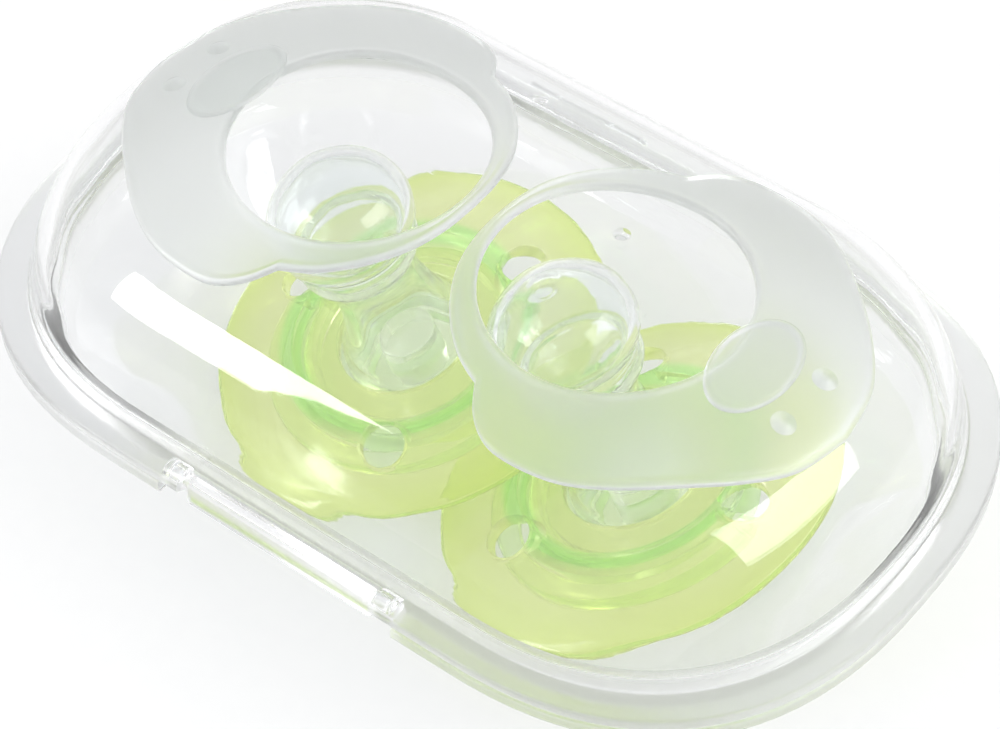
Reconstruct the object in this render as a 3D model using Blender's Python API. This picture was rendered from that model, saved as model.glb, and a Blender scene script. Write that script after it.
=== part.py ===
"""Two pacifiers in a clear hinged carry case, as separate named sub-parts.

World axes: +X along the case's long side, +Y towards the hinge, +Z up.
The case is drawn about the parting plane between lid and base, then lifted by FOOT_DROP so
that the origin is the centre of the flat underside it stands on. Lengths are metres.
"""
import math

import bmesh
import bpy
from mathutils import Matrix, Vector

MM = 0.001

# ---- case plan -------------------------------------------------------------
CASE_A = 54.0 * MM          # half length over the rims
CASE_B = 34.6 * MM          # half width over the rims
CASE_S = 20.9 * MM          # half length of the straight long side
CASE_N = 2.45               # roundness exponent of the rim's end curves
END_SEGS = 12               # segments in each end curve
SIDE_SEGS = 6               # segments in each straight side

# ---- lid and base sections: (inset from the rim, height) in mm ----------------
FOOT_DROP = 21.9 * MM       # from the parting plane down to the underside
RIM_GAP = 0.15
LID_WALL = 1.2
BASE_WALL = 1.3
LID_SECTION = ((3.0, 1.4), (3.6, 3.9), (4.5, 7.4), (6.0, 10.7), (8.0, 13.3), (10.5, 15.4),
               (13.7, 16.9), (17.6, 18.0), (22.4, 18.9), (28.0, 19.5), (33.4, 19.7))
BASE_SECTION = ((3.0, -1.6), (4.2, -5.0), (6.8, -9.0), (10.0, -13.5), (13.2, -17.7),
                (15.8, -20.2), (18.5, -21.5), (21.5, -21.9))
LIP_INSET = 4.7             # locating lip inside the lid wall, mm
LIP_TOP = 1.7
LIP_WALL = 1.0

# ---- hinge -------------------------------------------------------------------
HINGE_Y = 36.0 * MM
HINGE_X = 13.0 * MM
KNUCKLE_R = 1.25 * MM
BORE_R = 0.75 * MM
PIN_R = 0.66 * MM
LID_KNUCKLE = 7.0 * MM
BASE_KNUCKLE = 4.0 * MM
KNUCKLE_GAP = 0.3 * MM

# ---- front latch ---------------------------------------------------------------
LATCH_Y = -33.0 * MM
LATCH_Z = 0.8 * MM
LATCH_HALF = 12.0 * MM
RECESS_HALF = 12.4 * MM
BOSS_LENGTH = 2.4 * MM
RECESS_Y = -31.95 * MM

# ---- frosted panels on the lid ---------------------------------------------------
PANEL_GAP = 0.25
PANEL_THICK = 0.5
WINDOW_X = 16.3 * MM
WINDOW_R = 13.6 * MM
PANEL_HALF = ((1.3, 0.0), (1.5, 3.5), (2.3, 7.0), (3.8, 10.1), (6.1, 13.1), (9.2, 15.7),
              (12.4, 17.2), (14.4, 20.0), (17.4, 21.8), (21.7, 22.0), (26.1, 21.1),
              (30.5, 18.7), (34.8, 15.2), (39.1, 10.9), (42.2, 6.1), (43.4, 0.0))
PAD_X = 32.7 * MM           # oval pad standing on each panel
PAD_A = 3.9 * MM
PAD_B = 6.5 * MM
PAD_RISE = 0.2
PIP_X = 38.4 * MM           # small round pips beside the pad
PIP_Y = 3.45 * MM
PIP_R = 1.25 * MM
PIP_RISE = 0.4

# ---- pacifier ---------------------------------------------------------------------
SHIELD_R = 22.4             # mm from here to the end of this block, local frame
SHIELD_RISE = 4.3
SHIELD_T = 1.7
RECESS_R = 12.2
RECESS_DEPTH = 1.2
NECK_HOLE_R = 7.6
AIR_HOLE_R = 2.5
AIR_HOLE_AT = 14.9
HUB_R = 12.0
HUB_TOP = -0.1
HUB_BOTTOM = -5.6
HANDLE_R = 14.7
HANDLE_BAR = 1.4
HANDLE_W = -1.3
STUB_R = 0.95
SOCKET_R = 1.06
BULB_W = 23.0
BULB_R = 7.85
BULB_H = 6.3
TEAT_WALL = 1.1
ROUND_SEGS = 32

# centre of the shield's rim circle, lean of the axis, and turn of the air holes
PACIFIERS = {
    "left": ((-13.5, 3.0, -10.8), (-0.14, -0.28), -1.05),
    "right": ((17.9, 2.2, -10.9), (-0.32, -0.17), -2.03),
}


# ---- mesh tools ---------------------------------------------------------------------
def clear_scene():
    for obj in list(bpy.data.objects):
        bpy.data.objects.remove(obj, do_unlink=True)


def material(name, rgb, rough, transmission):
    mat = bpy.data.materials.get(name)
    if mat:
        return mat
    mat = bpy.data.materials.new(name)
    mat.use_nodes = True
    shader = mat.node_tree.nodes["Principled BSDF"]
    shader.inputs["Base Color"].default_value = (*rgb, 1.0)
    shader.inputs["Roughness"].default_value = rough
    shader.inputs["Transmission Weight"].default_value = transmission
    shader.inputs["IOR"].default_value = 1.49
    return mat


def add_object(name, bm, mat, smooth_angle=35.0):
    bmesh.ops.remove_doubles(bm, verts=bm.verts, dist=1e-7)
    bmesh.ops.recalc_face_normals(bm, faces=bm.faces)
    mesh = bpy.data.meshes.new(name)
    bm.to_mesh(mesh)
    bm.free()
    obj = bpy.data.objects.new(name, mesh)
    bpy.context.scene.collection.objects.link(obj)
    if mat:
        mesh.materials.append(mat)
    smooth(obj, smooth_angle)
    return obj


def smooth(obj, angle):
    mesh = obj.data
    mesh.shade_smooth()
    bm = bmesh.new()
    bm.from_mesh(mesh)
    limit = math.radians(angle)
    for edge in bm.edges:
        edge.smooth = edge.is_manifold and edge.calc_face_angle(0.0) < limit
    bm.to_mesh(mesh)
    bm.free()


def loft(rings, close_start=True, close_end=True):
    """Closed skin through equal-length rings, capped at both ends."""
    bm = bmesh.new()
    rows = [[bm.verts.new(p) for p in ring] for ring in rings]
    count = len(rows[0])
    for low, high in zip(rows, rows[1:]):
        for i in range(count):
            j = (i + 1) % count
            bm.faces.new((low[i], low[j], high[j], high[i]))
    if close_start:
        bm.faces.new(list(reversed(rows[0])))
    if close_end:
        bm.faces.new(rows[-1])
    return bm


def combine(target, tool, operation, angle=35.0):
    """Apply one exact Boolean and drop the tool."""
    mod = target.modifiers.new("cut", "BOOLEAN")
    mod.operation = operation
    mod.solver = "EXACT"
    mod.object = tool
    bpy.context.view_layer.update()
    graph = bpy.context.evaluated_depsgraph_get()
    result = bpy.data.meshes.new_from_object(target.evaluated_get(graph))
    old = target.data
    target.modifiers.clear()
    result.name = old.name
    target.data = result
    bpy.data.objects.remove(tool, do_unlink=True)
    bpy.data.meshes.remove(old)
    smooth(target, angle)
    return target


def box(low, high):
    bm = bmesh.new()
    bmesh.ops.create_cube(bm, size=1.0)
    for vert in bm.verts:
        for k in range(3):
            vert.co[k] = low[k] if vert.co[k] < 0 else high[k]
    return add_object("tool", bm, None)


def cylinder(start, end, radius, segs=24):
    """Solid cylinder between two points."""
    start = Vector(start)
    end = Vector(end)
    turn = (end - start).to_track_quat("Z", "Y").to_matrix()
    rings = []
    for centre in (start, end):
        ring = []
        for k in range(segs):
            angle = 2 * math.pi * k / segs
            ring.append(centre + turn @ Vector((radius * math.cos(angle), radius * math.sin(angle), 0)))
        rings.append(ring)
    return loft(rings)


# ---- case outline ---------------------------------------------------------------------
def oval(inset, z):
    """One ring of the case plan, moved in from the rim by inset and set at height z."""
    a = CASE_A - CASE_S - inset
    b = CASE_B - inset
    n = 2.0 + (CASE_N - 2.0) * max(0.0, 1.0 - inset / (20.0 * MM))
    points = []
    for side in (1, -1):
        for k in range(END_SEGS + 1):
            t = math.pi * (k / END_SEGS - 0.5)
            c = math.copysign(abs(math.cos(t)) ** (2 / n), math.cos(t))
            s = math.copysign(abs(math.sin(t)) ** (2 / n), math.sin(t))
            points.append(Vector((side * (CASE_S + a * c), side * b * s, z)))
        for k in range(1, SIDE_SEGS):
            x = side * CASE_S * (1 - 2 * k / SIDE_SEGS)
            points.append(Vector((x, side * b, z)))
    return points


def offset_section(section, distance):
    """Move a section polyline sideways by a distance, to its left along the point order."""
    moved = []
    for i, point in enumerate(section):
        before = section[max(i - 1, 0)]
        after = section[min(i + 1, len(section) - 1)]
        tangent = Vector((after[0] - before[0], after[1] - before[1])).normalized()
        moved.append((point[0] - tangent.y * distance, point[1] + tangent.x * distance))
    return moved


def rings_of(section):
    return [oval(d * MM, z * MM) for d, z in section]


def hinge_block(parts, low_z, high_z, reach_y):
    """Knuckles with their webs, one entry per (centre x, length)."""
    made = []
    for centre, length in parts:
        x0 = centre - length / 2
        x1 = centre + length / 2
        barrel = add_object("tool", cylinder((x0, HINGE_Y, 0), (x1, HINGE_Y, 0), KNUCKLE_R, 32), None)
        web = box((x0 + 0.2 * MM, reach_y, low_z), (x1 - 0.2 * MM, HINGE_Y - 0.85 * MM, high_z))
        combine(barrel, web, "UNION")
        made.append(barrel)
    return made


def build_lid(mat):
    outer = list(LID_SECTION)
    inner = offset_section(outer, -LID_WALL)
    inner = [(d, z) for d, z in inner if z > 1.4 and d < 33.0]
    section = list(reversed(outer)) + [(0.35, 1.4), (0.0, 1.05), (0.0, RIM_GAP), (4.2, RIM_GAP)] + inner
    lid = add_object("case_lid", loft(rings_of(section)), mat)
    parts = [(side * HINGE_X, LID_KNUCKLE) for side in (-1, 1)]
    for block in hinge_block(parts, 0.3 * MM, 1.1 * MM, 33.4 * MM):
        combine(lid, block, "UNION")
    cut = box((-RECESS_HALF, -36 * MM, -1 * MM), (RECESS_HALF, RECESS_Y, 2.5 * MM))
    combine(lid, cut, "DIFFERENCE")
    for side in (-1, 1):
        start = side * (RECESS_HALF - 0.01 * MM)
        end = side * (RECESS_HALF + BOSS_LENGTH)
        boss = add_object("tool", cylinder((start, LATCH_Y, LATCH_Z), (end, LATCH_Y, LATCH_Z), 1.35 * MM), None)
        combine(lid, boss, "UNION")
        reach = side * (RECESS_HALF - 1 * MM)
        stop = side * (RECESS_HALF + 1.7 * MM)
        socket = add_object("tool", cylinder((reach, LATCH_Y, LATCH_Z), (stop, LATCH_Y, LATCH_Z), 0.7 * MM), None)
        combine(lid, socket, "DIFFERENCE")
    bore = add_object("tool", cylinder((-30 * MM, HINGE_Y, 0), (30 * MM, HINGE_Y, 0), BORE_R), None)
    combine(lid, bore, "DIFFERENCE")
    lid.data.materials.clear()
    lid.data.materials.append(mat)
    return lid


def build_base(mat):
    outer = list(BASE_SECTION)
    inner = offset_section(outer, BASE_WALL)
    inner = [(d, z) for d, z in inner if z < -2.2]
    inner.append((inner[-1][0] + 1.0, inner[-1][1]))
    lip_out = LIP_INSET
    lip_in = LIP_INSET + LIP_WALL
    section = list(reversed(outer)) + [(0.35, -1.6), (0.0, -1.25), (0.0, -RIM_GAP), (lip_out, -RIM_GAP),
                                       (lip_out, LIP_TOP - 0.3), (lip_out + 0.3, LIP_TOP),
                                       (lip_in, LIP_TOP), (lip_in, -2.2)] + inner[2:]
    base = add_object("case_base", loft(rings_of(section)), mat)
    half = LID_KNUCKLE / 2 + KNUCKLE_GAP + BASE_KNUCKLE / 2
    parts = [(side * HINGE_X + k * half, BASE_KNUCKLE) for side in (-1, 1) for k in (-1, 1)]
    for block in hinge_block(parts, -1.1 * MM, -0.4 * MM, 33.4 * MM):
        combine(base, block, "UNION")
    wide = RECESS_HALF + BOSS_LENGTH + 0.3 * MM
    cut = box((-wide, -36 * MM, -2.5 * MM), (wide, RECESS_Y + 0.05 * MM, 0.5 * MM))
    combine(base, cut, "DIFFERENCE")
    bore = add_object("tool", cylinder((-30 * MM, HINGE_Y, 0), (30 * MM, HINGE_Y, 0), BORE_R), None)
    combine(base, bore, "DIFFERENCE")
    base.data.materials.clear()
    base.data.materials.append(mat)
    return base


def build_hinge_pin(side, name, mat):
    half = LID_KNUCKLE / 2 + KNUCKLE_GAP + BASE_KNUCKLE
    x0 = side * HINGE_X - half
    x1 = side * HINGE_X + half
    return add_object(name, cylinder((x0, HINGE_Y, 0), (x1, HINGE_Y, 0), PIN_R), mat)


def build_latch(mat):
    """Flap hung on two stubs in the lid's front rim."""
    profile = [(-32.4, 1.45), (-33.0, 1.75), (-33.55, 1.5), (-33.8, 0.9), (-33.7, -0.6), (-33.9, -1.5),
               (-33.5, -1.9), (-32.7, -1.8), (-32.4, -1.2), (-32.35, 0.2)]
    rings = [[Vector((x, y * MM, z * MM)) for y, z in profile] for x in (-LATCH_HALF, LATCH_HALF)]
    latch = add_object("case_latch", loft(rings), mat)
    for side in (-1, 1):
        start = side * (LATCH_HALF - 1 * MM)
        end = side * (RECESS_HALF + 1.4 * MM)
        stub = add_object("tool", cylinder((start, LATCH_Y, LATCH_Z), (end, LATCH_Y, LATCH_Z), 0.6 * MM), None)
        combine(latch, stub, "UNION")
    latch.data.materials.clear()
    latch.data.materials.append(mat)
    return latch


def ellipse_prism(cx, cy, a, b, z0, z1, segs=48):
    rings = []
    for z in (z0, z1):
        ring = []
        for k in range(segs):
            t = 2 * math.pi * k / segs
            ring.append(Vector((cx + a * math.cos(t), cy + b * math.sin(t), z)))
        rings.append(ring)
    return add_object("tool", loft(rings), None)


def crown_slab(name, low, high):
    """Shell standing off the lid's crown between two heights in mm."""
    outer = [(d, z) for d, z in LID_SECTION if d > 7.5]
    section = list(reversed(offset_section(outer, high))) + offset_section(outer, low)
    return add_object(name, loft(rings_of(section)), None)


def add_raised_spot(panel, cx, cy, a, b, rise):
    """Raise an elliptical spot on the panel's upper face."""
    spot = crown_slab("tool", PANEL_GAP + 0.1, PANEL_GAP + PANEL_THICK + rise)
    combine(spot, ellipse_prism(cx, cy, a, b, 5 * MM, 30 * MM, 32), "INTERSECT")
    combine(panel, spot, "UNION")


def build_panel(side, name, mat):
    """Frosted panel following the lid's crown, with a round window, an oval pad and two pips."""
    slab = crown_slab(name, PANEL_GAP, PANEL_GAP + PANEL_THICK)
    half = list(PANEL_HALF)
    outline = half + [(x, -y) for x, y in reversed(half[1:-1])]
    rings = []
    for z in (5 * MM, 30 * MM):
        rings.append([Vector((side * x * MM, y * MM, z)) for x, y in outline])
    combine(slab, add_object("tool", loft(rings), None), "INTERSECT")
    combine(slab, ellipse_prism(side * WINDOW_X, 0, WINDOW_R, WINDOW_R, 5 * MM, 30 * MM, 64), "DIFFERENCE")
    add_raised_spot(slab, side * PAD_X, 0, PAD_A, PAD_B, PAD_RISE)
    for half in (-1, 1):
        add_raised_spot(slab, side * PIP_X, half * PIP_Y, PIP_R, PIP_R, PIP_RISE)
    slab.data.materials.clear()
    slab.data.materials.append(mat)
    return slab


# ---- pacifier pieces, built in their local frame ------------------------------------------
def turned(profile, segs=ROUND_SEGS, scale=None):
    """Surface of revolution from a profile that starts and ends on the axis or is a closed loop."""
    bm = bmesh.new()
    on_axis = profile[0][0] == 0 and profile[-1][0] == 0
    body = profile[1:-1] if on_axis else profile
    rows = []
    for r, w in body:
        row = []
        for k in range(segs):
            t = 2 * math.pi * k / segs
            sx, sy = scale(w) if scale else (1.0, 1.0)
            row.append(bm.verts.new((r * sx * math.cos(t) * MM, r * sy * math.sin(t) * MM, w * MM)))
        rows.append(row)
    pairs = list(zip(rows, rows[1:]))
    if not on_axis:
        pairs.append((rows[-1], rows[0]))
    for low, high in pairs:
        for i in range(segs):
            j = (i + 1) % segs
            bm.faces.new((low[i], low[j], high[j], high[i]))
    if on_axis:
        for row, (r, w) in ((rows[0], profile[0]), (rows[-1], profile[-1])):
            tip = bm.verts.new((0, 0, w * MM))
            for i in range(segs):
                bm.faces.new((row[i], row[(i + 1) % segs], tip))
    return bm


def dome(r):
    return SHIELD_RISE * (1 - (r / SHIELD_R) ** 2)


def build_shield(name, turn, mat):
    step = dome(RECESS_R)
    floor = step - RECESS_DEPTH
    top = [(SHIELD_R - 0.15, 0.1), (SHIELD_R - 0.8, dome(SHIELD_R - 0.8) + 0.1)]
    top += [(r, dome(r)) for r in (20.4, 19.0, 17.4, 15.8, 14.2, 13.0)]
    top += [(RECESS_R + 0.3, step), (RECESS_R, step - 0.3), (RECESS_R - 0.2, floor + 0.2), (RECESS_R - 0.6, floor)]
    top += [(NECK_HOLE_R + 0.4, floor), (NECK_HOLE_R, floor - 0.3), (NECK_HOLE_R, floor - SHIELD_T + 0.1)]
    under = [(RECESS_R + 0.6, floor - SHIELD_T + 0.1), (14.2, dome(14.2) - SHIELD_T)]
    under += [(r, dome(r) - SHIELD_T) for r in (16.0, 17.6, 19.2, 20.6)]
    under += [(SHIELD_R - 0.7, dome(SHIELD_R) - SHIELD_T + 0.3), (SHIELD_R - 0.1, -0.9), (SHIELD_R, -0.4)]
    shield = add_object(name, turned(top + under), mat)
    for k in range(3):
        angle = turn + 2 * math.pi * k / 3
        x = AIR_HOLE_AT * math.cos(angle) * MM
        y = AIR_HOLE_AT * math.sin(angle) * MM
        hole = ellipse_prism(x, y, AIR_HOLE_R * MM, AIR_HOLE_R * MM, -5 * MM, 8 * MM, 32)
        combine(shield, hole, "DIFFERENCE")
    shield.data.materials.clear()
    shield.data.materials.append(mat)
    return shield


def teat_profile():
    """Outer and inner generating curves of the hollow teat."""
    outer = [(10.3, -1.6), (10.3, -0.5), (7.25, -0.4), (7.15, 1.2), (6.9, 2.6), (6.2, 4.4), (5.4, 6.6),
             (4.8, 9.0), (4.6, 11.4), (4.9, 13.6), (5.7, 15.6), (6.75, 17.6)]
    for k in range(1, 8):
        t = -0.9 + k * (math.pi / 2 + 0.9) / 8
        outer.append((BULB_R * math.cos(t), BULB_W + BULB_H * math.sin(t)))
    return outer


def flatten(w):
    """Neck squeezed along local X and eased round again at the bulb and the base."""
    amount = math.exp(-((w - 9.0) / 4.5) ** 2)
    return 1.0 - 0.22 * amount, 1.0 + 0.12 * amount


def build_teat(name, mat):
    outer = teat_profile()
    inner = [(r, w) for r, w in offset_section(outer[3:], TEAT_WALL) if r > 0.6]
    profile = [(0, BULB_W + BULB_H)] + list(reversed(outer)) + [(5.9, -1.6)] + inner
    profile += [(0, BULB_W + BULB_H - TEAT_WALL)]
    return add_object(name, turned(profile, ROUND_SEGS, flatten), mat)


def build_hub(name, mat):
    profile = [(0, HUB_BOTTOM), (11.0, HUB_BOTTOM), (11.7, HUB_BOTTOM + 0.3), (HUB_R, HUB_BOTTOM + 1.0),
               (HUB_R, HUB_TOP), (10.7, HUB_TOP), (10.7, -1.9), (5.6, -1.9), (5.6, -4.0), (3.5, -4.0),
               (3.4, 1.4), (2.8, 2.0), (0, 2.0)]
    hub = add_object(name, turned(profile), mat)
    for side in (-1, 1):
        start = (side * 10.9 * MM, 0, HANDLE_W * MM)
        end = (side * 13.0 * MM, 0, HANDLE_W * MM)
        combine(hub, add_object("tool", cylinder(start, end, SOCKET_R * MM), None), "DIFFERENCE")
    hub.data.materials.clear()
    hub.data.materials.append(mat)
    return hub


def build_handle(name, mat):
    """Half ring round the front of the hub, ending in two stubs on the local X axis."""
    path = [Vector((-11.1, 0, HANDLE_W)), Vector((-12.7, 0, HANDLE_W))]
    steps = 20
    for k in range(steps + 1):
        t = math.pi + math.pi * k / steps
        path.append(Vector((HANDLE_R * math.cos(t), HANDLE_R * math.sin(t) * 1.04, HANDLE_W)))
    path += [Vector((12.7, 0, HANDLE_W)), Vector((11.1, 0, HANDLE_W))]
    rings = []
    last = len(path) - 1
    for i, point in enumerate(path):
        ahead = path[min(i + 1, last)] - path[max(i - 1, 0)]
        if i in (2, last - 2):
            ahead = (path[i + 1] - point).normalized() + (point - path[i - 1]).normalized()
        ahead.normalize()
        side = ahead.cross(Vector((0, 0, 1)))
        slim = i in (0, 1, last - 1, last)
        wide = STUB_R if slim else HANDLE_BAR
        tall = STUB_R if slim else HANDLE_BAR * 0.92
        ring = []
        for k in range(12):
            t = 2 * math.pi * k / 12
            ring.append((point + side * wide * math.cos(t) + Vector((0, 0, tall * math.sin(t)))) * MM)
        rings.append(ring)
    return add_object(name, loft(rings), mat)


def place_pacifier(side, mats):
    centre, lean, turn = PACIFIERS[side]
    axis = Vector((lean[0], lean[1], 1.0)).normalized()
    across = Vector((1, 0, 0)) - axis * axis.x
    across.normalize()
    along = axis.cross(across)
    pose = Matrix((across, along, axis)).transposed().to_4x4()
    pose.translation = Vector(centre) * MM
    made = [build_shield("shield_" + side, turn, mats["shield"]),
            build_teat("teat_" + side, mats["silicone"]),
            build_hub("hub_" + side, mats["hub"]),
            build_handle("handle_" + side, mats["handle"])]
    pivot = Vector((0, 0, HANDLE_W * MM))
    for obj in made:
        if obj.name.startswith("handle"):
            obj.data.transform(Matrix.Translation(-pivot))
            obj.matrix_world = pose @ Matrix.Translation(pivot)
        else:
            obj.matrix_world = pose


def place_origin(obj, point):
    obj.data.transform(Matrix.Translation(-Vector(point)))
    obj.location = point


def main():
    clear_scene()
    clear = material("clear_plastic", (0.93, 0.95, 0.96), 0.05, 0.95)
    frosted = material("frosted_plastic", (0.90, 0.93, 0.92), 0.55, 0.7)
    mats = {
        "shield": material("shield_green", (0.76, 0.90, 0.35), 0.12, 0.6),
        "silicone": material("silicone", (0.94, 0.96, 0.95), 0.12, 0.9),
        "hub": material("hub_green", (0.55, 0.86, 0.35), 0.15, 0.6),
        "handle": material("handle_green", (0.50, 0.88, 0.40), 0.15, 0.6),
    }
    build_base(clear)
    lid = build_lid(clear)
    latch = build_latch(clear)
    build_hinge_pin(-1, "hinge_pin_left", clear)
    build_hinge_pin(1, "hinge_pin_right", clear)
    build_panel(-1, "lid_panel_left", frosted)
    build_panel(1, "lid_panel_right", frosted)
    for side in PACIFIERS:
        place_pacifier(side, mats)
    place_origin(lid, (0, HINGE_Y, 0))
    place_origin(latch, (0, LATCH_Y, LATCH_Z))
    for obj in bpy.data.objects:
        obj.location.z += FOOT_DROP


main()
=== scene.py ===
"""Looks of two pacifiers in a clear hinged carry case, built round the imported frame.

The shapes repeat the case and pacifier formulas at a finer step, with rounded edges.
Sizes named in capitals are millimetres unless multiplied by MM; meshes are in metres.
"""

import math

import bmesh
import bpy
import numpy as np
from mathutils import Matrix, Quaternion, Vector


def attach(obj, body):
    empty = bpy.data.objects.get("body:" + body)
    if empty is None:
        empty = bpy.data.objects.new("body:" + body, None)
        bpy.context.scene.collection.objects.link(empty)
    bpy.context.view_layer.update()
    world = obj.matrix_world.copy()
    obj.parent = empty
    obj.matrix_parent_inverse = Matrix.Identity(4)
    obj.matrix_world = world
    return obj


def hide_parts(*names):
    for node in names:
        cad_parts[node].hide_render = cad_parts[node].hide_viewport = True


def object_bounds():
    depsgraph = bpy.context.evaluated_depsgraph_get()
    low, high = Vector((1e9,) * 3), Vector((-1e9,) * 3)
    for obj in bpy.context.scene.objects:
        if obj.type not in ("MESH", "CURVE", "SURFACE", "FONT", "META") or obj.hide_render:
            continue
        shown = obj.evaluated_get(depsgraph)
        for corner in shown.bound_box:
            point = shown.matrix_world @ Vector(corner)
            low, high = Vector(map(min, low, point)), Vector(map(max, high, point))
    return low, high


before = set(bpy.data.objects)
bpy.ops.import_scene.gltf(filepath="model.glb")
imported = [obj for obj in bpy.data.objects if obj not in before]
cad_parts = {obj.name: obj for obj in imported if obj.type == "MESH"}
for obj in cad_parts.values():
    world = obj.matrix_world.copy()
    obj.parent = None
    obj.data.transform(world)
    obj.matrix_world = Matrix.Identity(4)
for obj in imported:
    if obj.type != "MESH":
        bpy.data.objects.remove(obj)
cad_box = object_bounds()

MM = 0.001

# ---- case, drawn about the parting plane between lid and base ----------------------
FOOT_DROP = 21.9            # from the parting plane down to the underside
CASE_A = 54.0               # half length over the rims
CASE_B = 34.6               # half width over the rims
CASE_S = 20.9               # half length of the straight long side
CASE_N = 2.45               # roundness exponent of the rim's end curves
END_SEGS = 48               # points along each end curve
SIDE_SEGS = 20              # points along each straight side
RIM_GAP = 0.15              # half the gap between the two rims
LID_RIM_TOP = 1.4
BASE_RIM_LOW = -1.6
LID_RIM_IN = 4.2            # inset of the lid rim's inner edge
LID_WALL = 1.2
BASE_WALL = 1.3
LID_SECTION = ((3.0, 1.4), (3.6, 3.9), (4.5, 7.4), (6.0, 10.7), (8.0, 13.3), (10.5, 15.4),
               (13.7, 16.9), (17.6, 18.0), (22.4, 18.9), (28.0, 19.5), (33.4, 19.7))
BASE_SECTION = ((3.0, -1.6), (4.2, -5.0), (6.8, -9.0), (10.0, -13.5), (13.2, -17.7),
                (15.8, -20.2), (18.5, -21.5), (21.5, -21.9))
SEAM_Z = cad_box[0].z + FOOT_DROP * MM
LIP_INSET = 4.7             # locating lip on the base's rim
LIP_TOP = 1.7
LIP_WALL = 1.0
RIM_ROUND = 0.4             # corner radius on the lid's rim
LIP_ROUND = 0.35            # corner radius on the base's rim and lip

# ---- hinge and latch -------------------------------------------------------------
HINGE_Y = 36.0
HINGE_X = 13.0
KNUCKLE_R = 1.25
BORE_R = 0.75
PIN_R = 0.66
LID_KNUCKLE = 7.0
BASE_KNUCKLE = 4.0
KNUCKLE_GAP = 0.3
WEB_ROOT_Y = 33.4           # where a knuckle's web starts inside the rim
WEB_SHORT = 0.85            # from the hinge axis back to the web's end
LID_WEB = (0.3, 1.1)        # low and high face of the lid's webs
BASE_WEB = (-1.1, -0.4)
LATCH_Y = -33.0
LATCH_Z = 0.8
LATCH_HALF = 12.0
RECESS_HALF = 12.4
BOSS_LENGTH = 2.4
BOSS_R = 1.35
BOSS_BORE_R = 0.7
BOSS_BORE = 1.7             # depth of the blind hole from the recess side
LATCH_STUB_R = 0.6
LATCH_STUB = 1.4
RECESS_Y = -31.95
LATCH_PROFILE = ((-32.4, 1.45), (-33.0, 1.75), (-33.55, 1.5), (-33.8, 0.9), (-33.7, -0.6),
                 (-33.9, -1.5), (-33.5, -1.9), (-32.7, -1.8), (-32.4, -1.2), (-32.35, 0.2))

# ---- frosted panels -----------------------------------------------------------------
PANEL_LOW = 0.06            # under face above the lid
PANEL_TOP = 0.70            # upper face above the lid
PANEL_ROUND = 0.28          # edge radius
PANEL_BEAD = 0.12           # raised edge line
WINDOW_X = 16.3
WINDOW_R = 13.6
PANEL_LOBES = (
    ((1.3, 0.0), (1.5, 3.5), (2.3, 7.0), (3.8, 10.1), (6.1, 13.1), (9.2, 15.7), (12.4, 17.2)),
    ((12.4, 17.2), (14.4, 20.0), (17.4, 21.8), (21.7, 22.0), (26.1, 21.1), (30.5, 18.7),
     (34.8, 15.2), (39.1, 10.9), (42.2, 6.1), (43.4, 0.0)),
)
PAD_X = 32.7
PAD_A = 3.9
PAD_B = 6.5
PIP_X = 38.4
PIP_Y = 3.45
PIP_R = 1.25
GATE_SPOTS = ((-6.9, 18.0), (12.5, 6.1))
GATE_R = 0.9
PLATE_STEP = 0.02           # pads and pips stand this far off their panel

# ---- pacifier, in its own frame ---------------------------------------------------------
SHIELD_R = 22.4
SHIELD_RISE = 4.3
SHIELD_T = 1.7
DISH_R = 12.2
DISH_DEPTH = 1.2
NECK_HOLE_R = 7.6
AIR_HOLE_R = 2.5
AIR_HOLE_AT = 14.9
HUB_R = 12.0
HUB_TOP = -0.1
HUB_BOTTOM = -5.6
HANDLE_R = 14.7
HANDLE_BAR = 1.4
HANDLE_W = -1.3
STUB_R = 0.95
SOCKET_R = 1.06
BULB_W = 23.0
BULB_R = 7.85
BULB_H = 6.3
TEAT_WALL = 1.1
HANDLE_OVAL = 1.04          # front reach of the half ring over its half width
ROUND_SEGS = 96
ROD_SEGS = 40
PACIFIERS = {
    "left": ((-13.5, 3.0, -10.8), (-0.14, -0.28), -1.05),
    "right": ((17.9, 2.2, -10.9), (-0.32, -0.17), -2.03),
}

# ---- stage -------------------------------------------------------------------------------
CAMERA_TARGET = (5.93, 1.28, 0.0)
CAMERA_AZIMUTH = 38.03      # degrees, 0 looks along +Y
CAMERA_ELEVATION = 48.28
CAMERA_DISTANCE = 321.1
CAMERA_ROLL = 0.59
LENS = 111.4
SENSOR = 36.0
SHIFT_X = -0.041


# ---- curves -------------------------------------------------------------------------------
def smooth_line(points, parts):
    """Catmull-Rom curve through a polyline, with that many steps per span."""
    pts = [np.array(p, float) for p in points]
    fine = []
    for i in range(len(pts) - 1):
        p0, p1, p2, p3 = pts[max(i - 1, 0)], pts[i], pts[i + 1], pts[min(i + 2, len(pts) - 1)]
        for k in range(parts):
            t = k / parts
            fine.append(0.5 * (2 * p1 + (p2 - p0) * t + (2 * p0 - 5 * p1 + 4 * p2 - p3) * t ** 2
                               + (3 * p1 - p0 - 3 * p2 + p3) * t ** 3))
    fine.append(pts[-1])
    return [tuple(p) for p in fine]


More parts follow.
